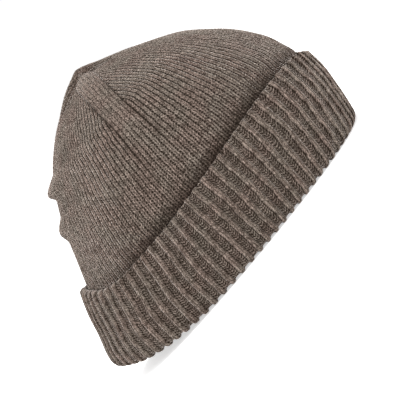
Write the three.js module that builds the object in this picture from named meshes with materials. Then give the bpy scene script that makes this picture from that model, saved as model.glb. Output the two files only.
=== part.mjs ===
import * as THREE from 'three';

// Driving dimensions, in millimetres: +X is the front, +Z is up, the rim lies on z = 0
const hatLength = 208;
const hatWidth = 176;
const hatHeight = 152;
const cuffHeight = 56;
const ribCount = 76;
const ribRelief = 1.4;
const ribKnit = 2.4;
const foldGap = 1.6;
const crownKnit = 2.2;
const seamDrop = 12;
const seamGap = 0.3;
const backStandOff = 0.6;
const backFoldDepth = 6.8;

// Share of one rib repeat that the raised rib takes, the rest is the sunken valley
const ribShare = 0.45;

// Fineness of the faceted walls. foldPlaces are the rows through a fold, as shares of its rise
// above the crest and of its drop below it, and turnFacets the facets round the cuff's bottom.
const crownColumns = 52;
const crownRows = 18;
const crownRowEasing = 1.5;
const rowMargin = 0.008;
const foldPlaces = [1, 0.6, 0, -0.5, -1];
const turnFacets = 5;
const arcSamples = 720;
const probe = 0.001;

// Horizontal sections of the layer next to the head, a row per level from the rim to the apex.
// at and flank are the heights of a section at the front and back and at the sides, and sag the
// drop of the four lobes between them, as shares of hatHeight. centre, back and front are shares
// of hatLength, and side of hatWidth. full is the oval's exponent, 2 for an ellipse.
const sections = [
  { at: 0.000, flank: 0.000, centre: -0.006, back: 0.523, front: 0.468, side: 0.452, full: 2.2, sag: 0 },
  { at: 0.132, flank: 0.132, centre: -0.004, back: 0.512, front: 0.497, side: 0.459, full: 2.2, sag: 0 },
  { at: 0.263, flank: 0.263, centre: 0.000, back: 0.468, front: 0.514, side: 0.464, full: 2.2, sag: 0 },
  { at: 0.349, flank: 0.349, centre: 0.002, back: 0.440, front: 0.515, side: 0.463, full: 2.2, sag: 0 },
  { at: 0.408, flank: 0.408, centre: 0.004, back: 0.420, front: 0.505, side: 0.459, full: 2.2, sag: 0 },
  { at: 0.474, flank: 0.474, centre: 0.007, back: 0.396, front: 0.492, side: 0.452, full: 2.2, sag: 0 },
  { at: 0.553, flank: 0.553, centre: 0.014, back: 0.372, front: 0.458, side: 0.437, full: 2.2, sag: 0 },
  { at: 0.632, flank: 0.636, centre: 0.022, back: 0.349, front: 0.415, side: 0.414, full: 2.1, sag: 0 },
  { at: 0.697, flank: 0.707, centre: 0.029, back: 0.321, front: 0.369, side: 0.386, full: 2.1, sag: 0 },
  { at: 0.757, flank: 0.776, centre: 0.034, back: 0.288, front: 0.319, side: 0.349, full: 2.1, sag: 0 },
  { at: 0.809, flank: 0.836, centre: 0.038, back: 0.254, front: 0.264, side: 0.301, full: 2.0, sag: 0 },
  { at: 0.855, flank: 0.882, centre: 0.043, back: 0.214, front: 0.207, side: 0.256, full: 1.9, sag: 0.004 },
  { at: 0.895, flank: 0.918, centre: 0.046, back: 0.174, front: 0.154, side: 0.207, full: 1.8, sag: 0.008 },
  { at: 0.931, flank: 0.944, centre: 0.048, back: 0.125, front: 0.103, side: 0.159, full: 1.7, sag: 0.014 },
  { at: 0.957, flank: 0.959, centre: 0.050, back: 0.088, front: 0.065, side: 0.111, full: 1.6, sag: 0.018 },
  { at: 0.977, flank: 0.969, centre: 0.052, back: 0.054, front: 0.039, side: 0.065, full: 1.6, sag: 0.014 },
  { at: 0.991, flank: 0.986, centre: 0.053, back: 0.022, front: 0.017, side: 0.028, full: 1.8, sag: 0.004 },
  { at: 1.000, flank: 1.000, centre: 0.053, back: 0.000, front: 0.000, side: 0.000, full: 2.0, sag: 0 },
];

// Edges of the cuff by angle from the front, in degrees. rim is the lift of the bottom fold and top
// the height of the free edge, as shares of cuffHeight, and out the share of backStandOff.
const cuffEdges = [
  { angle: 0, rim: 0.000, top: 0.87, out: 0.0 },
  { angle: 12, rim: 0.000, top: 0.91, out: 0.0 },
  { angle: 25, rim: 0.000, top: 1.00, out: 0.0 },
  { angle: 50, rim: 0.000, top: 1.05, out: 0.0 },
  { angle: 90, rim: 0.000, top: 0.97, out: 0.0 },
  { angle: 110, rim: 0.005, top: 0.94, out: 0.1 },
  { angle: 130, rim: 0.055, top: 0.94, out: 0.4 },
  { angle: 145, rim: 0.130, top: 0.98, out: 0.7 },
  { angle: 160, rim: 0.215, top: 1.07, out: 1.0 },
  { angle: 180, rim: 0.285, top: 1.12, out: 1.0 },
];

// Soft folds across the back of the crown, a row each. crest, rise and drop are the height of the
// fold and how far it runs out above and below, as shares of hatHeight. out is a share of
// backFoldDepth, and reach the half angle that it goes round the back, in degrees.
const backFolds = [
  { crest: 0.762, rise: 0.034, drop: 0.048, out: 1.0, reach: 50 },
  { crest: 0.628, rise: 0.036, drop: 0.062, out: 0.58, reach: 42 },
];

// Slope of a column at a row: level at a peak or a flat, else a mean of the steps on both sides
function slopeAt(rows, key, column, row) {
  const steps = [];
  for (const start of [row - 1, row]) {
    if (start >= 0 && start < rows.length - 1) {
      const from = rows[start];
      const to = rows[start + 1];
      steps.push((to[column] - from[column]) / (to[key] - from[key]));
    }
  }
  if (steps.length === 1) {
    return steps[0];
  }
  const [before, after] = steps;
  return before * after > 0 ? 2 * before * after / (before + after) : 0;
}

// A table read between its rows, by a cubic that keeps to the slopes at both rows
function readTable(rows, key, place) {
  let row = 0;
  while (row < rows.length - 2 && place > rows[row + 1][key]) {
    row += 1;
  }
  const from = rows[row];
  const to = rows[row + 1];
  const span = to[key] - from[key];
  const share = THREE.MathUtils.clamp((place - from[key]) / span, 0, 1);
  const square = share * share;
  const cube = square * share;
  const values = {};
  for (const column of Object.keys(from)) {
    const slopeIn = span * slopeAt(rows, key, column, row);
    const slopeOut = span * slopeAt(rows, key, column, row + 1);
    values[column] = from[column] * (2 * cube - 3 * square + 1) + slopeIn * (cube - 2 * square + share)
      + to[column] * (3 * square - 2 * cube) + slopeOut * (cube - square);
  }
  return values;
}

// Fade from 1 at the middle of a fold to 0 at its foot, soft at both ends
function fade(share) {
  return 0.5 + 0.5 * Math.cos(Math.PI * Math.min(share, 1));
}

// How far the folds push the wall out: each is a ledge above its crest and fades softly below it
function foldPush(angle, height) {
  const fromBack = 180 - Math.abs(THREE.MathUtils.radToDeg(angle));
  let push = 0;
  for (const fold of backFolds) {
    const above = height / hatHeight - fold.crest;
    const ledge = Math.cos(0.5 * Math.PI * Math.min(above / fold.rise, 1));
    const profile = above > 0 ? ledge : fade(-above / fold.drop);
    push += fold.out * backFoldDepth * profile * fade(fromBack / fold.reach);
  }
  return push;
}

// Point of the outer face of the layer next to the head, angle running from -PI to PI
function wallPoint(angle, at) {
  const section = readTable(sections, 'at', at);
  const along = Math.cos(angle);
  const across = Math.sin(angle);
  const oval = Math.abs(along) ** section.full + Math.abs(across) ** section.full;
  const squash = oval ** (-1 / section.full);
  const half = (along > 0 ? section.front : section.back) * hatLength;
  const lobe = 4 * (along * across) ** 2;
  const rise = at + (section.flank - at) * across * across;
  const height = (rise - section.sag * lobe) * hatHeight;
  const push = foldPush(angle, height);
  return new THREE.Vector3(
    section.centre * hatLength + (half * squash + push) * along,
    (section.side * hatWidth * squash + push) * across,
    height,
  );
}

// Outward normal of that face
function wallNormal(angle, at) {
  const round = wallPoint(angle + probe, at).sub(wallPoint(angle - probe, at));
  const upward = wallPoint(angle, at + probe).sub(wallPoint(angle, at - probe));
  return round.cross(upward).normalize();
}

// Angles that lie at even steps of length round the hat, for shares 0 to 1 of the way round
const arcTable = [];
function measureArc() {
  const level = 0.5 * cuffHeight / hatHeight;
  let length = 0;
  let previous = wallPoint(-Math.PI, level);
  for (let step = 0; step <= arcSamples; step += 1) {
    const angle = Math.PI * (2 * step / arcSamples - 1);
    const point = wallPoint(angle, level);
    length += point.distanceTo(previous);
    arcTable.push({ length, angle });
    previous = point;
  }
}
measureArc();

function angleAt(share) {
  const length = THREE.MathUtils.euclideanModulo(share, 1) * arcTable[arcSamples].length;
  const next = arcTable.findIndex((row) => row.length > length);
  const low = arcTable[next - 1];
  const high = arcTable[next];
  return THREE.MathUtils.mapLinear(length, low.length, high.length, low.angle, high.angle);
}

// Closed skin over columns of points that go round the hat. Each column is one outline of the wall,
// closed on itself, or open and ending in the two shared poles.
function skin(columns, poles) {
  const count = columns[0].length;
  const positions = columns.flat().concat(poles).flatMap((point) => point.toArray());
  const index = [];
  columns.forEach((unused, column) => {
    const here = column * count;
    const next = ((column + 1) % columns.length) * count;
    const steps = poles.length ? count - 1 : count;
    for (let step = 0; step < steps; step += 1) {
      const after = (step + 1) % count;
      index.push(here + step, here + after, next + after);
      index.push(here + step, next + after, next + step);
    }
    if (poles.length) {
      const first = columns.length * count;
      index.push(first, here, next);
      index.push(first + 1, next + count - 1, here + count - 1);
    }
  });
  const geometry = new THREE.BufferGeometry();
  geometry.setAttribute('position', new THREE.Float32BufferAttribute(positions, 3));
  geometry.setIndex(index);
  geometry.computeVertexNormals();
  return geometry;
}

const seamHeight = cuffHeight - seamDrop;

// Levels of the crown's rows, closer together towards the apex and through each fold
function crownPlaces(first) {
  const inFold = (fold, at) => at > fold.crest - fold.drop - rowMargin
    && at < fold.crest + fold.rise + rowMargin;
  const places = [];
  for (let row = 1; row <= crownRows; row += 1) {
    const at = 1 - (1 - first) * (row / crownRows) ** crownRowEasing;
    if (!backFolds.some((fold) => inFold(fold, at))) {
      places.push(at);
    }
  }
  for (const fold of backFolds) {
    for (const share of foldPlaces) {
      places.push(fold.crest + share * (share > 0 ? fold.rise : fold.drop));
    }
  }
  return places.sort((low, high) => high - low);
}

// The crown's wall: outer face from the apex down to the seam, inner face back up to the apex
function crownGeometry() {
  const places = crownPlaces((seamHeight + seamGap) / hatHeight);
  const columns = [];
  for (let column = 0; column < crownColumns; column += 1) {
    const angle = angleAt(column / crownColumns);
    const outer = places.map((at) => wallPoint(angle, at));
    const inner = places.map((at, row) => {
      const inward = wallNormal(angle, at).multiplyScalar(-crownKnit);
      inward.z = row === places.length - 1 ? 0 : inward.z;
      return wallPoint(angle, at).add(inward);
    });
    columns.push(outer.concat(inner.reverse()));
  }
  const apex = wallPoint(0, 1);
  const innerApex = apex.clone().setZ(apex.z - crownKnit);
  return skin(columns, [apex, innerApex]);
}

// One outline of the cuff's wall, on a rib or in a valley: down the outer layer, round the bottom
// fold, up the inner layer to the seam, and back between the two layers. offset counts outward
// from the outer face of the layer next to the head.
function cuffOutline(angle, raised) {
  const edge = readTable(cuffEdges, 'angle', Math.abs(THREE.MathUtils.radToDeg(angle)));
  const middle = 0.5 * (foldGap + edge.out * backStandOff);
  const innerRadius = middle + (raised ? ribRelief : 0);
  const outerRadius = innerRadius + ribKnit;
  const turn = Math.PI / turnFacets;
  const bend = edge.rim * cuffHeight + Math.cos(0.5 * turn) * (middle + ribRelief + ribKnit);
  const top = edge.top * cuffHeight;
  const halfway = 0.5 * (top + bend);
  const points = [];
  const add = (offset, height) => {
    const at = height / hatHeight;
    const outward = wallNormal(angle, at).setZ(0).normalize();
    points.push(wallPoint(angle, at).addScaledVector(outward, offset).setZ(height));
  };
  add(middle + outerRadius, top);
  add(middle + outerRadius, halfway);
  for (let facet = 0; facet <= turnFacets; facet += 1) {
    add(middle + outerRadius * Math.cos(facet * turn), bend - outerRadius * Math.sin(facet * turn));
  }
  add(middle - outerRadius, seamHeight);
  add(middle - innerRadius, seamHeight);
  add(middle - innerRadius, bend);
  add(middle, bend - innerRadius);
  add(middle + innerRadius, bend);
  add(middle + innerRadius, halfway);
  add(middle + innerRadius, top);
  return points;
}

// The ribbed turn-up: each repeat has the two edges of its raised rib and the bottom of its valley
function cuffGeometry() {
  const columns = [];
  for (let rib = 0; rib < ribCount; rib += 1) {
    columns.push(cuffOutline(angleAt((rib - 0.5 * ribShare) / ribCount), true));
    columns.push(cuffOutline(angleAt((rib + 0.5 * ribShare) / ribCount), true));
    columns.push(cuffOutline(angleAt((rib + 0.5) / ribCount), false));
  }
  return skin(columns, []);
}

// Taupe wool, a little darker in the ribs
const plainKnit = new THREE.MeshStandardMaterial({ color: 0x685d55, roughness: 0.95, metalness: 0 });
const ribKnitWool = new THREE.MeshStandardMaterial({ color: 0x645851, roughness: 0.95, metalness: 0 });

const crown = new THREE.Mesh(crownGeometry(), plainKnit);
crown.name = 'crown';

const ribbedCuff = new THREE.Mesh(cuffGeometry(), ribKnitWool);
ribbedCuff.name = 'ribbed_cuff';

// Centred over the origin, standing on z = 0
const beanie = new THREE.Group();
beanie.add(crown, ribbedCuff);
const box = new THREE.Box3().setFromObject(beanie);
const middleOfBox = box.getCenter(new THREE.Vector3());
beanie.position.set(-middleOfBox.x, -middleOfBox.y, -box.min.z);

export default beanie;
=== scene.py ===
import math

import bpy
import numpy as np
from mathutils import Matrix, Vector


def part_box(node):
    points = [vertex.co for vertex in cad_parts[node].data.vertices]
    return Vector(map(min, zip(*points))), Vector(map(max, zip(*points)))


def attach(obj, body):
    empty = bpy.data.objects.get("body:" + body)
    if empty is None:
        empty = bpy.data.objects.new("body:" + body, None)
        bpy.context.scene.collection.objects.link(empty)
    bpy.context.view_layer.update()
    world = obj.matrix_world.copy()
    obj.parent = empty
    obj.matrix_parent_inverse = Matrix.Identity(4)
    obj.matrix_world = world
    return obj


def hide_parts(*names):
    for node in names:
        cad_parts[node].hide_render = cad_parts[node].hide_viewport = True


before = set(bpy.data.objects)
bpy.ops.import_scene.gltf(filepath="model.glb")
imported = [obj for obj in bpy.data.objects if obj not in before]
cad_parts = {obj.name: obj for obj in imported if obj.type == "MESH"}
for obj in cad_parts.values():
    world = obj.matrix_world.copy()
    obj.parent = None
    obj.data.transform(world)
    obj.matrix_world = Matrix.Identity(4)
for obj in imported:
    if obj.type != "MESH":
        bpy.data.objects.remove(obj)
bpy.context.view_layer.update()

bl_info = {
    "name": "Knitted beanie",
    "version": (1, 0, 0),
    "blender": (4, 5, 0),
    "location": "View3D > Sidebar > Beanie",
    "description": "Plain-knit beanie with a ribbed turn-up cuff",
    "category": "Add Mesh",
}

# Horizontal sections of the layer next to the head, a row per level from the rim to the apex.
# at and flank are the heights of a section at the front and back and at the sides, and sag the
# drop of the four lobes between them, as shares of the hat's height. centre, back and front are
# shares of its length, and side of its width. full is the oval's exponent, 2 for an ellipse.
SECTIONS = np.array(
    [
        (0.000, 0.000, -0.006, 0.523, 0.468, 0.452, 2.2, 0.000),
        (0.132, 0.132, -0.004, 0.512, 0.497, 0.459, 2.2, 0.000),
        (0.263, 0.263, 0.000, 0.468, 0.514, 0.464, 2.2, 0.000),
        (0.349, 0.349, 0.002, 0.440, 0.515, 0.463, 2.2, 0.000),
        (0.408, 0.408, 0.004, 0.420, 0.505, 0.459, 2.2, 0.000),
        (0.474, 0.474, 0.007, 0.396, 0.492, 0.452, 2.2, 0.000),
        (0.553, 0.553, 0.014, 0.372, 0.458, 0.437, 2.2, 0.000),
        (0.632, 0.636, 0.022, 0.349, 0.415, 0.414, 2.1, 0.000),
        (0.697, 0.707, 0.029, 0.321, 0.369, 0.386, 2.1, 0.000),
        (0.757, 0.776, 0.034, 0.288, 0.319, 0.349, 2.1, 0.000),
        (0.809, 0.836, 0.038, 0.254, 0.264, 0.301, 2.0, 0.000),
        (0.855, 0.882, 0.043, 0.214, 0.207, 0.256, 1.9, 0.004),
        (0.895, 0.918, 0.046, 0.174, 0.154, 0.207, 1.8, 0.008),
        (0.931, 0.944, 0.048, 0.125, 0.103, 0.159, 1.7, 0.014),
        (0.957, 0.959, 0.050, 0.088, 0.065, 0.111, 1.6, 0.018),
        (0.977, 0.969, 0.052, 0.054, 0.039, 0.065, 1.6, 0.014),
        (0.991, 0.986, 0.053, 0.022, 0.017, 0.028, 1.8, 0.004),
        (1.000, 1.000, 0.053, 0.000, 0.000, 0.000, 2.0, 0.000),
    ],
    dtype=[(name, float)
           for name in ("at", "flank", "centre", "back", "front", "side", "full", "sag")],
)

# Edges of the cuff by angle from the front, in degrees. rim is the lift of the bottom fold and top
# the height of the free edge, as shares of the cuff's height, and out the share of its stand-off.
CUFF_EDGES = np.array(
    [
        (0, 0.000, 0.87, 0.0),
        (12, 0.000, 0.91, 0.0),
        (25, 0.000, 1.00, 0.0),
        (50, 0.000, 1.05, 0.0),
        (90, 0.000, 0.97, 0.0),
        (110, 0.005, 0.94, 0.1),
        (130, 0.055, 0.94, 0.4),
        (145, 0.130, 0.98, 0.7),
        (160, 0.215, 1.07, 1.0),
        (180, 0.285, 1.12, 1.0),
    ],
    dtype=[(name, float) for name in ("angle", "rim", "top", "out")],
)

# Soft folds across the back of the crown, a row each. crest, rise and drop are the height of the
# fold and how far it runs out above and below, as shares of the hat's height. out is a share of
# the fold depth, and reach the half angle that it goes round the back, in degrees.
BACK_FOLDS = np.array(
    [
        (0.762, 0.034, 0.048, 1.00, 50),
        (0.628, 0.036, 0.062, 0.58, 42),
    ],
    dtype=[(name, float) for name in ("crest", "rise", "drop", "out", "reach")],
)

# Pieces of the crown in the order of their first wale, counted from the middle of the back towards
# the wearer's right: four straight bands and the four lobes between them
CROWN_PIECES = (
    ("crown_lobe_back_right", 3, 32),
    ("crown_band_right", 35, 6),
    ("crown_lobe_front_right", 41, 32),
    ("crown_band_front", 73, 6),
    ("crown_lobe_front_left", 79, 32),
    ("crown_band_left", 111, 6),
    ("crown_lobe_back_left", 117, 32),
    ("crown_band_back", 149, 6),
)

# Wales in half a band and in a quarter of the crown, from the middle of one band to the next
BAND_HALF = 3
QUARTER_WALES = 38

# Columns of vertices in a wale and in a rib repeat, and rows of them in a course, on the outer
# faces and on the cuff's inner layer. The crown's inner face has one column to a wale and one row
# to a course.
WALE_COLUMNS = 6
RIB_COLUMNS = 12
COURSE_ROWS = 3
LAYER_ROWS = 2

# Shares of the hat's height between which the narrowing lines beside the bands come in
LINES_START = 0.42
LINES_FULL = 0.68

# Most of a quarter's length that half the ridge over the top takes, and that it takes together
# with half a side band, so that a lobe never closes up altogether
RIDGE_MOST = 0.94
BANDS_MOST = 0.97

# How far the creases beside the ridge run to the back and to the front of the apex, in metres
CREASE_BACK = 0.036
CREASE_FRONT = 0.026

# Dimples over the folds: how many rises of the fold above its crest, at what share of its reach
# round the back, and their half sizes, as a share of the hat's height and in degrees
DIMPLE_ABOVE = 1.6
DIMPLE_ROUND = 0.75
DIMPLE_HEIGHT = 0.022
DIMPLE_ANGLE = 16

# The pocket behind the cuff, with its tuck and its painted shade, fades out between these heights
# above the cuff's free edge, and the tuck of the crown in it comes in over this height above the
# seam, all in metres
POCKET_FULL = -0.001
POCKET_END = 0.011
TUCK_START = 0.006

# How far the two legs of a plain stitch rise from its middle to its sides, and how far the loops
# of a rib's valley rise over a whole repeat, in courses
LEG_RISE = 0.8
LOOP_RISE = 3

# Unevenness of the knit, as wave_noise takes it: strength, length of its waves in metres and seed.
# Courses and wales wander by a share of one, and the crown's face waves in and out by metres.
CROWN_COURSES = (0.22, 0.006, 5)
CROWN_WALES = (0.05, 0.005, 7)
CROWN_FACE = (0.00022, 0.028, 11)
CUFF_COURSES = (0.35, 0.007, 3)
CUFF_WALES = (0.03, 0.006, 9)

# How far a rib's two legs lie left and right of its middle, in repeats
LEFT_LEG = 0.12
RIGHT_LEG = 0.08

# Halves of the cuff: name, first rib and number of ribs. They meet in valleys.
CUFF_PIECES = (("cuff_right", 0, 38), ("cuff_left", 38, 38))

# How the photo shows the hat: metres to a pixel, pixels across, degrees that the camera looks
# down, degrees that it is turned clockwise, and its distance and target in metres
PIXEL = 0.00062
FRAME_PIXELS = 400
LOOK_DOWN = 4.2
ROLL = 50.4
DISTANCE = 1.5
TARGET = (-0.001, 0, 0.0413)

# Drop of the floor below the rim in metres, so that the two never touch
FLOOR_DROP = 0.0001

# Soft area lights: name, place and width in metres, and watts. They aim at the middle of the hat.
LIGHTS_AIM = (0, 0, 0.05)
LIGHTS = (
    ("front_light", (0.0, -1.9, 0.2), 1.6, 26.0),
    ("top_light", (0.0, -0.4, 1.8), 1.2, 15.0),
    ("rim_light", (-0.1, 0.9, 1.9), 1.2, 40.0),
    ("side_light", (-1.4, -1.0, 0.02), 0.8, 5.5),
)


class BeanieSizes(bpy.types.PropertyGroup):
    """Sizes of the knitted hat, in metres unless they say otherwise."""

    hat_length: bpy.props.FloatProperty(
        name="Length", description="Front to back over the free edge of the cuff",
        default=0.208, min=0.1, unit="LENGTH")
    hat_width: bpy.props.FloatProperty(
        name="Width", description="Side to side over the free edge of the cuff",
        default=0.176, min=0.1, unit="LENGTH")
    hat_height: bpy.props.FloatProperty(
        name="Height", description="Surface to apex, as the frame's crown has it",
        default=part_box("crown")[1].z, min=0.05, unit="LENGTH")
    cuff_height: bpy.props.FloatProperty(
        name="Cuff height", description="Bottom fold to free edge at the side",
        default=0.056, min=0.02, unit="LENGTH")
    seam_height: bpy.props.FloatProperty(
        name="Seam height",
        description="Where the ribbing ends and the plain knit starts, behind the cuff",
        default=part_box("crown")[0].z, min=0.01, unit="LENGTH")
    seam_gap: bpy.props.FloatProperty(
        name="Seam gap", description="Gap between the crown and the top of the cuff's inner layer",
        default=0.0003, min=0.0001, unit="LENGTH")
    rib_knit: bpy.props.FloatProperty(
        name="Rib knit", description="Thickness of the ribbed knit",
        default=0.0024, min=0.0005, unit="LENGTH")
    rib_relief: bpy.props.FloatProperty(
        name="Rib relief", description="How far a rib stands out of the valleys",
        default=0.0014, min=0.0, unit="LENGTH")
    fold_gap: bpy.props.FloatProperty(
        name="Fold gap",
        description="Clear gap between the two layers of the cuff, valley to valley",
        default=0.0016, min=0.0002, unit="LENGTH")
    back_stand_off: bpy.props.FloatProperty(
        name="Back stand-off", description="How much further the cuff stands off at the back",
        default=0.0006, min=0.0, unit="LENGTH")
    crown_knit: bpy.props.FloatProperty(
        name="Crown knit", description="Thickness of the plain knit",
        default=0.0022, min=0.0005, unit="LENGTH")
    least_knit: bpy.props.FloatProperty(
        name="Least knit",
        description="Thickness that is left of the plain knit in its deepest grooves",
        default=0.0007, min=0.0001, unit="LENGTH")
    back_fold_depth: bpy.props.FloatProperty(
        name="Back fold depth", description="How far the deepest fold at the back stands out",
        default=0.0068, min=0.0, unit="LENGTH")
    rib_count: bpy.props.IntProperty(
        name="Ribs", description="Rib repeats round the cuff", default=76, min=8)
    wale_pitch: bpy.props.FloatProperty(
        name="Wale pitch", description="Width of one wale where the knit is relaxed, near the apex",
        default=0.00275, min=0.0005, unit="LENGTH")
    closing_up: bpy.props.FloatProperty(
        name="Closing up",
        description="How fast the wales of a lobe close up towards the apex, as a power",
        default=0.2, min=0.0, max=1.0)
    course_pitch: bpy.props.FloatProperty(
        name="Course pitch", description="Height of one row of stitches",
        default=0.0019, min=0.0005, unit="LENGTH")
    rib_course: bpy.props.FloatProperty(
        name="Rib course pitch", description="Height of one row of stitches in the cuff",
        default=0.00175, min=0.0005, unit="LENGTH")
    edge_scallop: bpy.props.FloatProperty(
        name="Edge scallop",
        description="How far a rib's end stands above a valley's at the free edge",
        default=0.0005, min=0.0, unit="LENGTH")
    rib_sway: bpy.props.FloatProperty(
        name="Rib sway", description="How far the ribs wander sideways, in repeats",
        default=0.035, min=0.0)
    stitch_relief: bpy.props.FloatProperty(
        name="Stitch relief", description="Depth of the grooves between the wales",
        default=0.0006, min=0.0, unit="LENGTH")
    dart_depth: bpy.props.FloatProperty(
        name="Dart depth", description="Depth of the grooves where the lobes meet the bands",
        default=0.0001, min=0.0, unit="LENGTH")
    dart_width: bpy.props.FloatProperty(
        name="Dart width", description="Half width of those grooves",
        default=0.0008, min=0.0001, unit="LENGTH")
    # Painted shade: half width of the darkened lines along the dart grooves
    line_width: bpy.props.FloatProperty(
        name="Line width", description="Half width of the dark lines along those grooves",
        default=0.001, min=0.0001, unit="LENGTH")
    tuck_depth: bpy.props.FloatProperty(
        name="Tuck depth",
        description="How far the crown draws in behind the free edge of the cuff",
        default=0.002, min=0.0, unit="LENGTH")
    crease_depth: bpy.props.FloatProperty(
        name="Crease depth", description="Depth of the creases beside the ridge over the top",
        default=0.0032, min=0.0, unit="LENGTH")
    crease_width: bpy.props.FloatProperty(
        name="Crease width", description="Half width of those creases",
        default=0.0038, min=0.0005, unit="LENGTH")
    hollow_depth: bpy.props.FloatProperty(
        name="Hollow depth", description="Depth of the dimples over the folds at the back",
        default=0.0012, min=0.0, unit="LENGTH")
    lip_lean: bpy.props.FloatProperty(
        name="Lip lean",
        description="How much thicker the free edge is at the back, where it leans on the crown",
        default=0.0022, min=0.0, unit="LENGTH")
    back_bulge: bpy.props.FloatProperty(
        name="Back bulge",
        description="How far the cuff bulges out at the back, below its free edge",
        default=0.0016, min=0.0, unit="LENGTH")


class BeanieColours(bpy.types.PropertyGroup):
    """Colours and finish of the wool and the studio."""

    wool_light: bpy.props.FloatVectorProperty(
        name="Light wool", description="Lightest fibres of the heather yarn",
        default=(0.285, 0.229, 0.198), subtype="COLOR", min=0.0, max=1.0)
    wool_mid: bpy.props.FloatVectorProperty(
        name="Mid wool", description="Main tone of the heather yarn",
        default=(0.117, 0.091, 0.077), subtype="COLOR", min=0.0, max=1.0)
    wool_dark: bpy.props.FloatVectorProperty(
        name="Dark wool", description="Darkest fibres of the heather yarn",
        default=(0.032, 0.022, 0.017), subtype="COLOR", min=0.0, max=1.0)
    # Painted shade: the colour that the knit's grooves are mixed towards
    groove: bpy.props.FloatVectorProperty(
        name="Groove", description="Shade deep between the stitches",
        default=(0.011, 0.007, 0.004), subtype="COLOR", min=0.0, max=1.0)
    sheen: bpy.props.FloatProperty(
        name="Sheen", description="Soft light that the loose fibres catch at grazing angles",
        default=0.8, min=0.0, max=1.0, subtype="FACTOR")
    floor: bpy.props.FloatVectorProperty(
        name="Floor", description="Pale studio floor",
        default=(0.90, 0.90, 0.90), subtype="COLOR", min=0.0, max=1.0)
    floor_glow: bpy.props.FloatProperty(
        name="Floor glow", description="Light of the floor's own, which keeps the backdrop white",
        default=0.55, min=0.0)
    studio_light: bpy.props.FloatProperty(
        name="Studio light", description="Strength of the white light from all round",
        default=1.02, min=0.0)


def row_slopes(table, key, column):
    """Slope of a column at each row: level at a peak or a flat, else the harmonic mean of the
    steps on both sides."""
    steps = np.diff(table[column]) / np.diff(table[key])
    before, after = steps[:-1], steps[1:]
    same_way = before * after > 0
    total = np.where(same_way, before + after, 1.0)
    inner = np.where(same_way, 2 * before * after / total, 0.0)
    return np.concatenate((steps[:1], inner, steps[-1:]))


def read_table(table, key, places):
    """Every column at the given places: a cubic between two rows that keeps to their slopes."""
    row = np.clip(np.searchsorted(table[key], places, side="right") - 1, 0, len(table) - 2)
    span = table[key][row + 1] - table[key][row]
    share = np.clip((places - table[key][row]) / span, 0, 1)
    square, cube = share**2, share**3
    values = {}
    for column in table.dtype.names:
        slopes = row_slopes(table, key, column)
        low, high = table[column][row], table[column][row + 1]
        values[column] = (
            low * (2 * cube - 3 * square + 1)
            + span * slopes[row] * (cube - 2 * square + share)
            + high * (3 * square - 2 * cube)
            + span * slopes[row + 1] * (cube - square)
        )
    return values


def off_front(angle):
    """Degrees between an angle and the front, from 0 to 180."""
    return np.degrees(np.abs(np.arctan2(np.sin(angle), np.cos(angle))))


def at_back(angle, start, full):
    """Smooth step of the degrees between an angle and the front, on both sides."""
    return smooth(start, full, off_front(angle))


def fold_push(size, angle, height):
    """How far the folds push the wall out. Each fold is a quarter cosine from its crest up, which
    makes a ledge, and a raised cosine below it and round the back."""
    from_back = 180 - off_front(angle)
    push = np.zeros(np.broadcast(angle, height).shape)
    for fold in BACK_FOLDS:
        above = height / size.hat_height - fold["crest"]
        ledge = np.cos(0.5 * math.pi * np.clip(above / fold["rise"], 0, 1))
        apron = 0.5 + 0.5 * np.cos(math.pi * np.clip(-above / fold["drop"], 0, 1))
        round_back = 0.5 + 0.5 * np.cos(math.pi * np.clip(from_back / fold["reach"], 0, 1))
        push += fold["out"] * size.back_fold_depth * np.where(above > 0, ledge, apron) * round_back
    return push


def fold_hollow(size, angle, height):
    """How far a point lies in the dimples over the folds: a bell curve of its height above the
    ledge, times one of its angle round the back, on both sides."""
    from_back = 180 - off_front(angle)
    hollow = np.zeros(np.broadcast(angle, height).shape)
    for fold in BACK_FOLDS:
        above = height / size.hat_height - fold["crest"] - DIMPLE_ABOVE * fold["rise"]
        beside = from_back - DIMPLE_ROUND * fold["reach"]
        hollow += bell(above, DIMPLE_HEIGHT) * bell(beside, DIMPLE_ANGLE)
    return hollow


def wall_point(size, angle, at):
    """Outer face of the layer next to the head. Each level is a superellipse with its own half
    lengths to the front, back and sides. Its height swings from the ends to the flanks with the
    square of the sine, and sinks between them with the square of the sine of twice the angle."""
    section = read_table(SECTIONS, "at", at)
    along, across = np.cos(angle), np.sin(angle)
    full = section["full"]
    squash = (np.abs(along) ** full + np.abs(across) ** full) ** (-1 / full)
    half = np.where(along > 0, section["front"], section["back"]) * size.hat_length
    rise = at + (section["flank"] - at) * across**2
    height = (rise - section["sag"] * 4 * (along * across) ** 2) * size.hat_height
    push = fold_push(size, angle, height)
    return np.stack(
        (
            section["centre"] * size.hat_length + (half * squash + push) * along,
            (section["side"] * size.hat_width * squash + push) * across,
            height,
        ),
        axis=-1,
    )


def unit(vectors):
    """Vectors scaled to length 1."""
    return vectors / np.maximum(np.linalg.norm(vectors, axis=-1, keepdims=True), 1e-12)


def wall_normal(size, angle, at, probe=0.001):
    """Outward normal of the wall: the cross product of its steps round the hat and up it."""
    round_hat = wall_point(size, angle + probe, at) - wall_point(size, angle - probe, at)
    upward = wall_point(size, angle, at + probe) - wall_point(size, angle, at - probe)
    return unit(np.cross(round_hat, upward))


def path_length(points, axis):
    """Length from the first point to each point along an axis."""
    steps = np.linalg.norm(np.diff(points, axis=axis), axis=-1)
    start = np.zeros_like(np.take(steps, [0], axis=axis))
    return np.concatenate((start, np.cumsum(steps, axis=axis)), axis=axis)


def smooth(low, high, value):
    """Smooth step from 0 at low to 1 at high."""
    share = np.clip((value - low) / (high - low), 0, 1)
    return share * share * (3 - 2 * share)


def bell(value, width):
    """Bell curve: 1 where the value is 0, and e to the minus 1 a width away."""
    return np.exp(-((value / width) ** 2))


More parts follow.
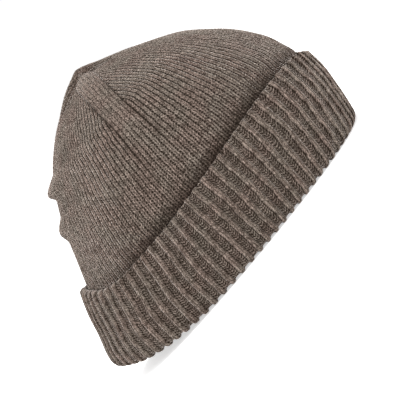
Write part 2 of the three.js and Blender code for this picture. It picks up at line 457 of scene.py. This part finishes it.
def hat_shift(size):
    """How far the hat stands from the origin of its sections, read at the back of the seam."""
    level = size.seam_height / size.hat_height
    back = wall_point(size, np.full(1, math.pi), np.full(1, level))[0]
    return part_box("crown")[0].x - back[0]


def crown_rings(size):
    """Levels of the crown's rows and the courses counted up to each. The rows are spaced evenly
    along the mean length of the wall from the seam to the apex."""
    first = size.seam_height / size.hat_height
    at = 1 - (1 - first) * np.linspace(1, 0, 1600)[:, None] ** 1.5
    angles = np.linspace(-math.pi, math.pi, 49)[None, :-1]
    length = path_length(wall_point(size, angles, at), 0).mean(axis=1)
    rows = COURSE_ROWS * round(length[-1] / size.course_pitch)
    even = np.linspace(0, length[-1], rows + 1)
    return np.interp(even, length, at[:, 0]), even / size.course_pitch


def crown_columns(size, at, first, wales):
    """Angles and wale numbers of the columns of one band or lobe at each level, and how far each
    is from the nearest edge of the piece.

    Quarters run between the middle lines of the bands. The three wales of half a band take 3/38
    of a quarter while the knit is stretched, then keep the relaxed pitch. Over the top the front
    and back bands run into each other as one ridge, whose edge at a radius lies at the arcsine of
    its half width over that radius, and the side bands end against it. A lobe takes the rest. Its
    wales close up with a power of the quarter's length and stop at its edges, so its wale numbers
    span min(32, width / closed-up pitch)."""
    samples = 180
    angles = -math.pi + np.arange(5 * samples + 1) * 0.5 * math.pi / samples
    lengths = path_length(wall_point(size, angles[None, :], at[:, None]), 1)
    marks = lengths[:, ::samples]
    quarter = np.diff(marks, axis=1)
    half = BAND_HALF * np.maximum(size.wale_pitch, quarter / QUARTER_WALES)
    turn = np.arcsin(np.minimum(0.5 * math.pi * half / quarter, 1)) / (0.5 * math.pi)
    ridge = np.minimum(turn, RIDGE_MOST) * quarter
    beside = np.minimum(half, BANDS_MOST * quarter - ridge)
    share = np.linspace(0, 1, wales * WALE_COLUMNS + 1)[None, :]
    which = (first - BAND_HALF) // QUARTER_WALES
    if wales > 2 * BAND_HALF:
        start = (ridge if which % 2 == 0 else beside)[:, which]
        width = quarter[:, which] - ridge[:, which] - beside[:, which]
        place = (marks[:, which] + start)[:, None] + share * width[:, None]
        relaxed = QUARTER_WALES * size.wale_pitch
        closing = np.minimum(quarter[:, which] / relaxed, 1) ** size.closing_up
        number = np.minimum(wales, width / (size.wale_pitch * closing))
        wale = first + 0.5 * wales + (share - 0.5) * number[:, None]
        edge = np.minimum(share, 1 - share) * width[:, None]
    else:
        after = (which + 1) % 4
        side = 2 * share - 1
        band = beside if which % 2 == 0 else ridge
        reach = np.where(side < 0, band[:, [which]], band[:, [after]])
        place = marks[:, [which + 1]] + side * reach
        number = np.minimum(BAND_HALF, reach / size.wale_pitch)
        wale = first + BAND_HALF + side * number
        edge = (1 - np.abs(side)) * reach
    offset = np.arange(len(at))[:, None] * 10.0
    angle = np.interp(
        (place + offset).ravel(), (lengths + offset).ravel(), np.tile(angles, len(at))
    ).reshape(place.shape)
    return angle, wale, edge


def ridge_crease(size, points):
    """How far a point lies in the creases along both edges of the ridge over the top: a bell curve
    of the distance to the edge, faded out along the ridge to the front and back."""
    top = wall_point(size, np.zeros(1), np.ones(1))[0]
    along = points[..., 0] - top[0]
    off = np.abs(points[..., 1]) - 0.95 * BAND_HALF * size.wale_pitch
    reach = np.where(along < 0, CREASE_BACK, CREASE_FRONT)
    high = smooth(0.78, 0.86, points[..., 2] / size.hat_height)
    return bell(off, size.crease_width) * (1 - smooth(0.4, 1, np.abs(along) / reach)) * high


def wave_noise(points, strength, pitch, seed, waves=7):
    """Smooth noise: a strength times the sum of sine waves in seeded directions, about a pitch
    long, over the square root of their number."""
    rng = np.random.default_rng(seed)
    directions = unit(rng.normal(size=(waves, 3)))
    lengths = pitch * rng.uniform(0.7, 1.5, waves)
    phases = rng.uniform(0, 2 * math.pi, waves)
    swings = np.sin(2 * math.pi * (points @ directions.T) / lengths + phases)
    return strength * swings.sum(axis=-1) / math.sqrt(waves)


def plain_stitches(wale, course):
    """Height of the plain knit, from 0 in the groove between two wales to 1 on a leg of a V. Both
    legs rise from the middle of the wale outward, so a stitch is a cosine of course less slope
    times the distance from the middle, and the middle of the V is a shallower groove."""
    out = np.abs(2 * (wale % 1) - 1)
    across = 1 - smooth(0.55, 1.0, out) - 0.4 * (1 - smooth(0.0, 0.4, out))
    along = 0.5 + 0.5 * np.cos(2 * math.pi * (course - LEG_RISE * out))
    return across * (0.7 + 0.3 * along)


def fine_to_coarse(fine, coarse, flip=False):
    """Triangles between a row of vertices and a coarser row alongside it, where every coarse step
    spans the same number of fine ones."""
    ratio = (len(fine) - 1) // (len(coarse) - 1)
    step = np.arange(len(fine) - 1)
    nearest = np.floor(step / ratio + 0.5).astype(int)
    turn = np.searchsorted(nearest, np.arange(1, len(coarse)), side="left")
    turn[nearest[-1] < np.arange(1, len(coarse))] = len(fine) - 1
    fans = np.stack((fine[1:], fine[:-1], coarse[nearest]), axis=1)
    joins = np.stack((coarse[:-1], coarse[1:], fine[turn]), axis=1)
    faces = np.concatenate((fans, joins))
    return faces[:, ::-1] if flip else faces


def grid_quads(ids, flip=False):
    """Quads of a grid of vertex numbers, facing outward where rows go up and columns turn left."""
    corners = (ids[:-1, :-1], ids[:-1, 1:], ids[1:, 1:], ids[1:, :-1])
    quads = np.stack([corner.ravel() for corner in corners], axis=1)
    return quads[:, ::-1] if flip else quads


def make_piece(name, points, faces, sharp, coords, shade, material, node):
    """A mesh object from arrays: faces is a list of arrays of triangles or quads, and sharp says
    for each array whether it is shaded flat, with sharp edges all round. coords are wale and course
    numbers, for the knit's UV map, and shade is how much painted shade a vertex gets for lying in
    a line, a crease, a dimple or the pocket behind the cuff, kept as a point attribute."""
    mesh = bpy.data.meshes.new(name)
    corners = np.concatenate([part.ravel() for part in faces])
    sizes = np.concatenate([np.full(len(part), part.shape[1]) for part in faces])
    mesh.vertices.add(len(points))
    mesh.vertices.foreach_set("co", points.astype(np.float32).ravel())
    mesh.loops.add(len(corners))
    mesh.loops.foreach_set("vertex_index", corners.astype(np.int32))
    mesh.polygons.add(len(sizes))
    starts = np.concatenate(([0], np.cumsum(sizes)[:-1]))
    mesh.polygons.foreach_set("loop_start", starts.astype(np.int32))
    mesh.update(calc_edges=True)
    flat = np.concatenate([np.full(len(part), hard) for part, hard in zip(faces, sharp)])
    mesh.polygons.foreach_set("use_smooth", ~flat)
    beside = np.zeros(len(mesh.loops), dtype=np.int32)
    mesh.loops.foreach_get("edge_index", beside)
    hard_edge = np.zeros(len(mesh.edges), dtype=bool)
    hard_edge[beside[np.repeat(flat, sizes)]] = True
    mesh.edges.foreach_set("use_edge_sharp", hard_edge)
    uv = mesh.uv_layers.new(name="knit")
    uv.uv.foreach_set("vector", coords[corners].astype(np.float32).ravel())
    # Painted shade, kept as a point attribute that darkens the wool's colour
    recess_shade = mesh.attributes.new("recess_shade", "FLOAT", "POINT")
    recess_shade.data.foreach_set("value", shade.astype(np.float32))
    if mesh.validate():
        raise RuntimeError(name + " has faces that Blender had to mend")
    mesh.materials.append(material)
    piece = bpy.data.objects.new(name, mesh)
    bpy.context.scene.collection.objects.link(piece)
    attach(piece, "root")
    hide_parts(node)


def crown_piece(size, name, first, wales, material):
    """One closed piece of the crown: the outer face, a plainer inner face one knit's thickness
    behind the wall, and strips that join the two all round. Along its normal the outer face takes
    the height of the stitches, less the grooves beside the bands, the tuck behind the cuff, the
    creases beside the ridge and the dimples over the folds, plus soft waves."""
    at, course = crown_rings(size)
    low = at[:-1, None]
    angle, wale, edge = crown_columns(size, at[:-1], first, wales)
    base = wall_point(size, angle, low)
    normal = wall_normal(size, angle, low)
    free_edge = read_table(CUFF_EDGES, "angle", off_front(angle))["top"] * size.cuff_height
    pocket = 1 - smooth(POCKET_FULL, POCKET_END, base[..., 2] - free_edge)
    tuck = size.tuck_depth * pocket * smooth(0, TUCK_START, base[..., 2] - size.seam_height)
    tuck = tuck * (1 - 0.9 * at_back(angle, 120, 165))
    courses = course[:-1, None] + wave_noise(base, *CROWN_COURSES)
    wale = wale + wave_noise(base, *CROWN_WALES)
    stitches = 0.4 + (plain_stitches(wale, courses) - 0.4) * smooth(0, 0.0012, edge)
    upper = smooth(LINES_START, LINES_FULL, low)
    dart = size.dart_depth * bell(edge, size.dart_width) * upper
    crease = ridge_crease(size, base)
    hollow = fold_hollow(size, angle, base[..., 2])
    relief = size.stitch_relief * (stitches - 0.5) + wave_noise(base, *CROWN_FACE)
    relief = relief - dart - tuck - size.crease_depth * crease - size.hollow_depth * hollow
    relief = np.maximum(relief, size.least_knit - size.crown_knit)
    # Painted shade: the pocket behind the cuff (faded at the back), a share of the dimples, the
    # lines beside the bands and the creases darken the wool
    pocket = pocket * (1 - 0.8 * at_back(angle, 110, 150))
    line = bell(edge, size.line_width) * upper
    shade = np.maximum.reduce([pocket, 0.4 * hollow, line, np.minimum(1.7 * crease, 1)])
    outer = base + normal * relief[..., None]
    inner = (base - normal * size.crown_knit)[::COURSE_ROWS, ::WALE_COLUMNS]
    apex = wall_point(size, np.zeros(1), np.ones(1))
    under = apex - (0, 0, size.crown_knit)
    points = np.concatenate((outer.reshape(-1, 3), apex, inner.reshape(-1, 3), under))
    rows, columns = wale.shape
    ids = np.arange(rows * columns).reshape(rows, columns)
    pole = rows * columns
    inner_pole = len(points) - 1
    inside = np.arange(pole + 1, inner_pole).reshape(inner.shape[:2])
    tip = np.stack((ids[-1, :-1], ids[-1, 1:], np.full(columns - 1, pole)), axis=1)
    inner_tip = np.stack((inside[-1, 1:], inside[-1, :-1], np.full(wales, inner_pole)), axis=1)
    left, right = (
        fine_to_coarse(np.append(ids[:, end], pole), np.append(inside[:, end], inner_pole), turned)
        for end, turned in ((0, True), (-1, False)))
    seam = fine_to_coarse(ids[0], inside[0])
    faces = [grid_quads(ids), tip, grid_quads(inside, True), inner_tip, left, right, seam]
    coords = np.stack((wale, courses), axis=-1)
    behind = coords[::COURSE_ROWS, ::WALE_COLUMNS]
    middle = np.array([[first + 0.5 * wales, course[-1]]])
    coords = np.concatenate((coords.reshape(-1, 2), middle, behind.reshape(-1, 2), middle))
    sharp = [False, False, False, False, True, True, True]
    points[:, 0] += hat_shift(size)
    # Painted shade of 0.6 at the apex, and none on the inner face
    shade = np.concatenate((shade.ravel(), [0.6], np.zeros(inside.size + 1)))
    make_piece(name, points, faces, sharp, coords, shade, material, "crown")


def even_angles(size, shares):
    """Angles at even steps of length round the hat, half way up the cuff. Share 0 is the back."""
    angles = np.linspace(-math.pi, math.pi, 721)
    level = np.full(1, 0.5 * size.cuff_height / size.hat_height)
    length = path_length(wall_point(size, angles, level), 0)
    turns = np.floor(shares)
    return np.interp((shares - turns) * length[-1], length, angles) + 2 * math.pi * turns


def rib_stitches(place, course):
    """Height of the ribbed knit from 0 to 1, and how far a column is raised. place is the distance
    from the middle of the rib in repeats. A rib is one narrow wale, its left leg a bell curve that
    stands upright and its right leg a lower, wider one. In the valley the loops slant up from its
    middle to the ribs on both sides."""
    off = np.abs(place)
    raised = 1 - smooth(0.13, 0.30, off)
    left = bell(place + LEFT_LEG, 0.07)
    right = 0.7 * bell(place - RIGHT_LEG, 0.08)
    legs = np.maximum(left, right) * (0.9 + 0.1 * np.cos(2 * math.pi * (course - 3.2 * off)))
    slanted = 0.5 + 0.5 * np.cos(2 * math.pi * (course + LOOP_RISE * (0.5 - off)))
    return raised * (0.35 + 0.65 * legs) + (1 - raised) * 0.8 * slanted, raised


def cuff_rows(size, edge, raised):
    """Offsets from the wall, heights and courses of the rows of the cuff's outline, and how much of
    the stitches each row shows. Rows are counted from the hidden side of the free edge."""
    middle = 0.5 * (size.fold_gap + edge["out"] * size.back_stand_off)
    within = middle + size.rib_relief * raised
    beyond = within + size.rib_knit
    bend = edge["rim"] * size.cuff_height + middle + size.rib_relief + size.rib_knit
    lip = 0.45 * size.rib_knit
    shoulder = edge["top"] * size.cuff_height - lip + size.edge_scallop * (raised - 0.5)
    seam = size.seam_height - size.seam_gap
    down = COURSE_ROWS * round((size.cuff_height - 2 * size.rib_knit) / size.rib_course)
    round_fold = round(2.5 * math.pi * (size.rib_knit + size.rib_relief) / size.rib_course)
    up = LAYER_ROWS * round(seam / size.rib_course)
    rows = []

    def add(offset, height, course, shown):
        rows.append((offset, height + 0 * offset, course, shown))

    for share in np.linspace(0, 1, 7):
        across = 0.5 * (within + beyond) - 0.5 * size.rib_knit * math.cos(math.pi * share)
        add(middle + across, shoulder + lip * math.sin(math.pi * share), share - 1, share**3)
    for share in np.linspace(0, 1, down + 1)[1:]:
        add(middle + beyond, shoulder + share * (bend - shoulder), share * down / COURSE_ROWS, 1)
    for share in np.linspace(0, 1, round_fold + 1)[1:]:
        turn = math.pi * share
        add(middle + beyond * math.cos(turn), bend - beyond * math.sin(turn),
            (down + share * round_fold) / COURSE_ROWS, 1)
    for share in np.linspace(0, 1, up + 1)[1:]:
        add(middle - beyond, bend + share * (seam - bend),
            (down + round_fold) / COURSE_ROWS + share * up / LAYER_ROWS, 0.7 - 0.7 * share**8)
    for share in np.linspace(0, 1, 5):
        add(middle - within, seam + share * (bend - seam), 0, 0)
    for share in np.linspace(0, 1, 5)[1:]:
        turn = math.pi * (1 - share)
        add(middle + within * math.cos(turn), bend - within * math.sin(turn), 0, 0)
    for share in np.linspace(0, 1, 7)[1:-1]:
        add(middle + within, bend + share * (shoulder - bend), 0, 0)
    return [np.array(column) for column in zip(*rows)]


def cuff_piece(size, name, first, ribs, material):
    """One half of the turned-up cuff. Each column is the closed outline of the two layers: over
    the free edge, down the outer layer, half way round the bottom fold, up the inner layer to the
    seam and back between the layers. Columns of a rib stand out from those of a valley, and the
    stitches draw the faces in towards the middle of the two layers. At the back the free edge
    leans on the crown and the outer layer bulges out in a bell curve below it."""
    place = first - 0.5 + np.arange(ribs * RIB_COLUMNS + 1) / RIB_COLUMNS
    off = (place + 0.5) % 1 - 0.5
    angle = even_angles(size, place / size.rib_count)
    edge = read_table(CUFF_EDGES, "angle", off_front(angle))
    raised = rib_stitches(off, 0)[1]
    offset, height, course, shown = cuff_rows(size, edge, raised)
    level = height / size.hat_height
    sheet = np.stack((0.1 * angle + 0 * height, 0 * height, height), axis=-1)
    seams = smooth(0, 1, np.minimum(place - place[0], place[-1] - place))
    sway = size.rib_sway * 2 * math.pi / size.rib_count
    angle = angle + wave_noise(sheet, sway, 0.03, 21) * seams
    base = wall_point(size, angle, level)
    courses = course[:, None] + wave_noise(base, *CUFF_COURSES)
    stitches = rib_stitches(off[None, :], courses)[0]
    outward = wall_normal(size, angle, level)
    outward[..., 2] = 0
    outward = unit(outward)
    centre = 0.5 * (size.fold_gap + edge["out"] * size.back_stand_off)
    inset = size.stitch_relief * shown[:, None] * (1 - stitches)
    up = height / (edge["top"] * size.cuff_height)
    hidden = np.clip((offset.max(axis=0) - offset) / size.rib_knit, 0, 1)
    lean = size.lip_lean * at_back(angle, 110, 150) * smooth(0.6, 1.0, up) * hidden
    lean = lean - size.back_bulge * at_back(angle, 120, 160) * bell(up - 0.78, 0.25)
    away = offset - centre
    pulled = away - inset * away / np.maximum(np.abs(away), 1e-9)
    lean = np.where(away > 0, lean, 0)
    points = base + outward * (centre + pulled - lean)[..., None]
    points[..., 2] = height
    rows, columns = height.shape
    ids = np.arange(rows * columns).reshape(rows, columns)
    closed = np.concatenate((ids, ids[:1]))
    faces = [grid_quads(closed, True), ids[::-1, 0][None], ids[:, -1][None]]
    coords = np.stack((place + wave_noise(base, *CUFF_WALES), courses), axis=-1).reshape(-1, 2)
    points = points.reshape(-1, 3)
    points[:, 0] += hat_shift(size)
    make_piece(name, points, faces, [False, True, True], coords, np.zeros(len(points)),
               material, "ribbed_cuff")


class Graph:
    """Short ways to add and link the nodes of a material."""

    def __init__(self, material):
        material.use_nodes = True
        self.nodes, self.links = material.node_tree.nodes, material.node_tree.links
        self.shader = self.nodes["Principled BSDF"]
        self.place = self.nodes.new("ShaderNodeTexCoord")

    def feed(self, socket, value):
        """Link a socket to another, or set its value."""
        if isinstance(value, bpy.types.NodeSocket):
            self.links.new(value, socket)
        else:
            socket.default_value = value

    def math(self, operation, *values):
        """One arithmetic step."""
        node = self.nodes.new("ShaderNodeMath")
        node.operation = operation
        for socket, value in zip(node.inputs, values):
            self.feed(socket, value)
        return node.outputs[0]

    def step(self, value, low, high):
        """Smooth step from 0 at low to 1 at high."""
        node = self.nodes.new("ShaderNodeMapRange")
        node.interpolation_type = "SMOOTHSTEP"
        for socket, part in zip(node.inputs, (value, low, high)):
            self.feed(socket, part)
        return node.outputs[0]

    def wave(self, phase):
        """Half a cosine wave plus a half: 1 at whole numbers and 0 between them."""
        turned = self.math("COSINE", self.math("MULTIPLY", phase, 2 * math.pi))
        return self.math("MULTIPLY_ADD", turned, 0.5, 0.5)

    def noise(self, scale, detail, rough=0.5):
        """Noise over the object's own coordinates."""
        node = self.nodes.new("ShaderNodeTexNoise")
        self.feed(node.inputs["Vector"], self.place.outputs["Object"])
        self.feed(node.inputs["Scale"], scale)
        self.feed(node.inputs["Detail"], detail)
        self.feed(node.inputs["Roughness"], rough)
        return node.outputs["Fac"]

    def ramp(self, value, stops):
        """Colours along a value from 0 to 1."""
        node = self.nodes.new("ShaderNodeValToRGB")
        self.feed(node.inputs["Fac"], value)
        while len(node.color_ramp.elements) < len(stops):
            node.color_ramp.elements.new(1.0)
        for element, (position, colour) in zip(node.color_ramp.elements, stops):
            element.position = position
            element.color = (*colour, 1)
        return node.outputs["Color"]

    def mix(self, kind, factor, first, second):
        """Two colours mixed."""
        node = self.nodes.new("ShaderNodeMix")
        node.data_type = "RGBA"
        node.blend_type = kind
        for socket, value in ((0, factor), (6, first), (7, second)):
            self.feed(node.inputs[socket], value)
        return node.outputs[2]


# The depth feeds the bump and the painted shade between the stitches
def plain_depth(graph, wale, course):
    """How deep a point lies between the stitches of the plain knit: 1 in the groove between two
    wales, less in the middle of a V and between a stitch and the next one up the leg. The grooves
    are deeper in the upper part, but for those of the bands, which are faint there."""
    out = graph.math("ABSOLUTE", graph.math("MULTIPLY_ADD", graph.math("FRACT", wale), 2, -1))
    wave = graph.wave(graph.math("MULTIPLY_ADD", out, -LEG_RISE, course))
    between = graph.math("SUBTRACT", 1.0, wave)
    even = graph.math("MULTIPLY_ADD", graph.step(course, 15.0, 40.0), 0.16, 0.55)
    across = graph.math("MULTIPLY_ADD", between, 0.52, even)
    edge = graph.math("MULTIPLY", graph.step(out, 0.50, 0.95), across)
    strength = graph.math("MULTIPLY_ADD", graph.step(course, 36.0, 12.0), 0.5, 0.15)
    middle = graph.math("MULTIPLY", graph.step(out, 0.36, 0.0), strength)
    notch = graph.math("POWER", between, 1.5)
    from_band = graph.math("PINGPONG", wale, 0.5 * QUARTER_WALES)
    band = graph.math("MULTIPLY", graph.step(from_band, BAND_HALF, BAND_HALF - 1),
                      graph.step(course, 24.0, 40.0))
    edge = graph.math("MULTIPLY", edge, graph.math("MULTIPLY_ADD", band, -0.5, 1.0))
    deep = graph.math("MAXIMUM", edge, middle)
    return graph.math("MULTIPLY_ADD", notch, 0.30, graph.math("MULTIPLY", deep, 0.95))


# The depth feeds the bump and the painted shade between the stitches
def rib_depth(graph, place, course):
    """How deep a point lies between the stitches of the ribbing: nothing on the upright left leg of
    a rib, a little on its right leg and between the two, and much at its foot and between the
    slanted loops of a valley."""
    side = graph.math("SUBTRACT", graph.math("FRACT", graph.math("ADD", place, 0.5)), 0.5)
    off = graph.math("ABSOLUTE", side)
    valley = graph.step(off, 0.14, 0.27)
    slope = graph.math("MULTIPLY", graph.math("SUBTRACT", 0.5, off), LOOP_RISE)
    between = graph.math("SUBTRACT", 1.0, graph.wave(graph.math("ADD", course, slope)))
    pits = graph.math("MULTIPLY_ADD", graph.wave(graph.math("MULTIPLY", off, 6.0)), -0.62, 1.05)
    pitted = graph.math("MULTIPLY_ADD", between, pits, 0.18)
    loops = graph.math("MULTIPLY", valley, pitted)
    left = graph.step(graph.math("ABSOLUTE", graph.math("ADD", side, LEFT_LEG)), 0.09, 0.04)
    right = graph.step(graph.math("ABSOLUTE", graph.math("SUBTRACT", side, RIGHT_LEG)), 0.08, 0.03)
    lines = graph.math("MULTIPLY_ADD", right, 0.26, graph.math("MULTIPLY", left, 0.52))
    rib = graph.math("SUBTRACT", 0.42, lines)
    notched = graph.math("MULTIPLY_ADD", between, 0.20, rib)
    raised = graph.math("MULTIPLY", notched, graph.step(off, 0.27, 0.14))
    ribbed = graph.math("MAXIMUM", loops, raised)
    foot = graph.step(graph.math("ABSOLUTE", graph.math("SUBTRACT", off, 0.24)), 0.07, 0.0)
    return graph.math("MULTIPLY_ADD", foot, 0.36, ribbed)


def wool(name, colours, depth_of):
    """Heather wool. Flecks of light and dark fibre about a millimetre long are mixed by noise and
    by a chance per stitch, and patches a centimetre wide lean to green-grey or to red-brown.
    Painted shade darkens the lines, creases, dimples and pocket by the piece's own shade attribute,
    and the knit's grooves by how deep they lie."""
    material = bpy.data.materials.new(name)
    graph = Graph(material)
    knit = graph.nodes.new("ShaderNodeUVMap")
    knit.uv_map = "knit"
    split = graph.nodes.new("ShaderNodeSeparateXYZ")
    graph.feed(split.inputs[0], knit.outputs["UV"])
    depth = depth_of(graph, split.outputs["X"], split.outputs["Y"])
    stitch = graph.nodes.new("ShaderNodeCombineXYZ")
    graph.feed(stitch.inputs[0], graph.math("FLOOR", graph.math("MULTIPLY", split.outputs["X"], 2)))
    graph.feed(stitch.inputs[1], graph.math("FLOOR", split.outputs["Y"]))
    chance = graph.nodes.new("ShaderNodeTexWhiteNoise")
    chance.noise_dimensions = "2D"
    graph.feed(chance.inputs["Vector"], stitch.outputs[0])
    fleck = graph.math("MULTIPLY_ADD", chance.outputs["Value"], 0.12, graph.noise(1500, 2, 0.6))
    flecks = graph.ramp(graph.math("SUBTRACT", fleck, 0.06), (
        (0.35, colours.wool_dark), (0.50, colours.wool_mid), (0.65, colours.wool_light)))
    patches = graph.ramp(graph.noise(85, 1), ((0.35, (0.96, 1.0, 0.97)), (0.65, (1.0, 0.95, 0.93))))
    tinted = graph.mix("MULTIPLY", 1.0, flecks, patches)
    # Painted shade in the lines, creases, dimples and pocket: the point attribute multiplies the
    # wool by a dark brown-grey
    recess_shade = graph.nodes.new("ShaderNodeAttribute")
    recess_shade.attribute_name = "recess_shade"
    hidden = graph.mix("MULTIPLY", recess_shade.outputs["Fac"], tinted, (0.42, 0.39, 0.37, 1))
    # Painted shade between the stitches: the wool is mixed towards the groove colour by how deep a
    # point lies
    shade = graph.math("MINIMUM", graph.math("MULTIPLY", depth, 1.05), 1.0)
    bump = graph.nodes.new("ShaderNodeBump")
    graph.feed(bump.inputs["Strength"], 0.8)
    graph.feed(bump.inputs["Distance"], 0.0006)
    fibres = graph.math("MULTIPLY", graph.noise(1400, 3), 0.8)
    graph.feed(bump.inputs["Height"], graph.math("SUBTRACT", fibres, depth))
    for socket, value in (
        ("Base Color", graph.mix("MIX", shade, hidden, (*colours.groove, 1))),
        ("Roughness", 0.95),
        ("Specular IOR Level", 0.1),
        ("Sheen Weight", colours.sheen),
        ("Sheen Roughness", 0.15),
        ("Sheen Tint", (1.0, 0.88, 0.80, 1)),
        ("Normal", bump.outputs["Normal"]),
    ):
        graph.feed(graph.shader.inputs[socket], value)
    return material


class BEANIE_OT_crown(bpy.types.Operator):
    """Builds the plain-knit crown: four bands and the four lobes between them."""

    bl_idname = "beanie.crown"
    bl_label = "Build crown"

    def execute(self, context):
        size, colours = context.scene.beanie_sizes, context.scene.beanie_colours
        material = wool("plain_knit_wool", colours, plain_depth)
        for name, first, wales in CROWN_PIECES:
            crown_piece(size, name, first, wales, material)
        return {"FINISHED"}


class BEANIE_OT_cuff(bpy.types.Operator):
    """Builds the ribbed cuff, turned up once, in two halves that meet in valleys."""

    bl_idname = "beanie.cuff"
    bl_label = "Build cuff"

    def execute(self, context):
        size, colours = context.scene.beanie_sizes, context.scene.beanie_colours
        material = wool("rib_knit_wool", colours, rib_depth)
        for name, first, ribs in CUFF_PIECES:
            cuff_piece(size, name, first, ribs, material)
        return {"FINISHED"}


class BEANIE_OT_stage(bpy.types.Operator):
    """Sets the pale floor, the soft studio light and the camera."""

    bl_idname = "beanie.stage"
    bl_label = "Set stage"

    def execute(self, context):
        scene, colours = context.scene, context.scene.beanie_colours
        mesh = bpy.data.meshes.new("floor")
        reach = 12.0
        corners = ((-reach, -reach), (reach, -reach), (reach, reach), (-reach, reach))
        mesh.from_pydata([(x, y, -FLOOR_DROP) for x, y in corners], [], [(0, 1, 2, 3)])
        floor = bpy.data.objects.new("floor", mesh)
        scene.collection.objects.link(floor)
        paint = bpy.data.materials.new("floor_paint")
        paint.use_nodes = True
        for socket, value in (
            ("Base Color", (*colours.floor, 1)),
            ("Roughness", 1.0),
            ("Specular IOR Level", 0.0),
            ("Emission Color", (1, 1, 1, 1)),
            ("Emission Strength", colours.floor_glow),
        ):
            paint.node_tree.nodes["Principled BSDF"].inputs[socket].default_value = value
        mesh.materials.append(paint)

        world = bpy.data.worlds.new("studio")
        world.use_nodes = True
        world.node_tree.nodes["Background"].inputs["Color"].default_value = (1, 1, 1, 1)
        world.node_tree.nodes["Background"].inputs["Strength"].default_value = colours.studio_light
        scene.world = world
        aim = Vector(LIGHTS_AIM)
        for name, spot, width, watts in LIGHTS:
            light = bpy.data.lights.new(name, "AREA")
            light.size = width
            light.energy = watts
            lamp = bpy.data.objects.new(name, light)
            lamp.location = spot
            lamp.rotation_euler = (aim - Vector(spot)).to_track_quat("-Z", "Y").to_euler()
            scene.collection.objects.link(lamp)

        elevation, roll = math.radians(LOOK_DOWN), math.radians(ROLL)
        back = Vector((0, -math.cos(elevation), math.sin(elevation)))
        camera = bpy.data.objects.new("camera", bpy.data.cameras.new("camera"))
        camera.data.sensor_width = 36
        camera.data.lens = camera.data.sensor_width * DISTANCE / (PIXEL * FRAME_PIXELS)
        turn = (-back).to_track_quat("-Z", "Y").to_matrix() @ Matrix.Rotation(-roll, 3, "Z")
        camera.matrix_world = Matrix.Translation(Vector(TARGET) + DISTANCE * back) @ turn.to_4x4()
        camera.data.clip_start, camera.data.clip_end = 0.05, 30
        scene.collection.objects.link(camera)
        scene.camera = camera
        scene.view_settings.view_transform = "Standard"
        return {"FINISHED"}


class BEANIE_PT_panel(bpy.types.Panel):
    """Lists the steps that build the hat."""

    bl_label = "Beanie"
    bl_idname = "BEANIE_PT_panel"
    bl_space_type = "VIEW_3D"
    bl_region_type = "UI"
    bl_category = "Beanie"

    def draw(self, context):
        for operator in OPERATORS:
            self.layout.operator(operator.bl_idname)


OPERATORS = (BEANIE_OT_crown, BEANIE_OT_cuff, BEANIE_OT_stage)
CLASSES = (BeanieSizes, BeanieColours, *OPERATORS, BEANIE_PT_panel)


def register():
    """Adds the classes and the two groups of settings to Blender."""
    for item in CLASSES:
        bpy.utils.register_class(item)
    bpy.types.Scene.beanie_sizes = bpy.props.PointerProperty(type=BeanieSizes)
    bpy.types.Scene.beanie_colours = bpy.props.PointerProperty(type=BeanieColours)


def unregister():
    """Takes them out again in the opposite order."""
    del bpy.types.Scene.beanie_colours
    del bpy.types.Scene.beanie_sizes
    for item in reversed(CLASSES):
        bpy.utils.unregister_class(item)


def main():
    register()
    bpy.ops.beanie.crown()
    bpy.ops.beanie.cuff()
    bpy.ops.beanie.stage()


if __name__ == "__main__":
    main()
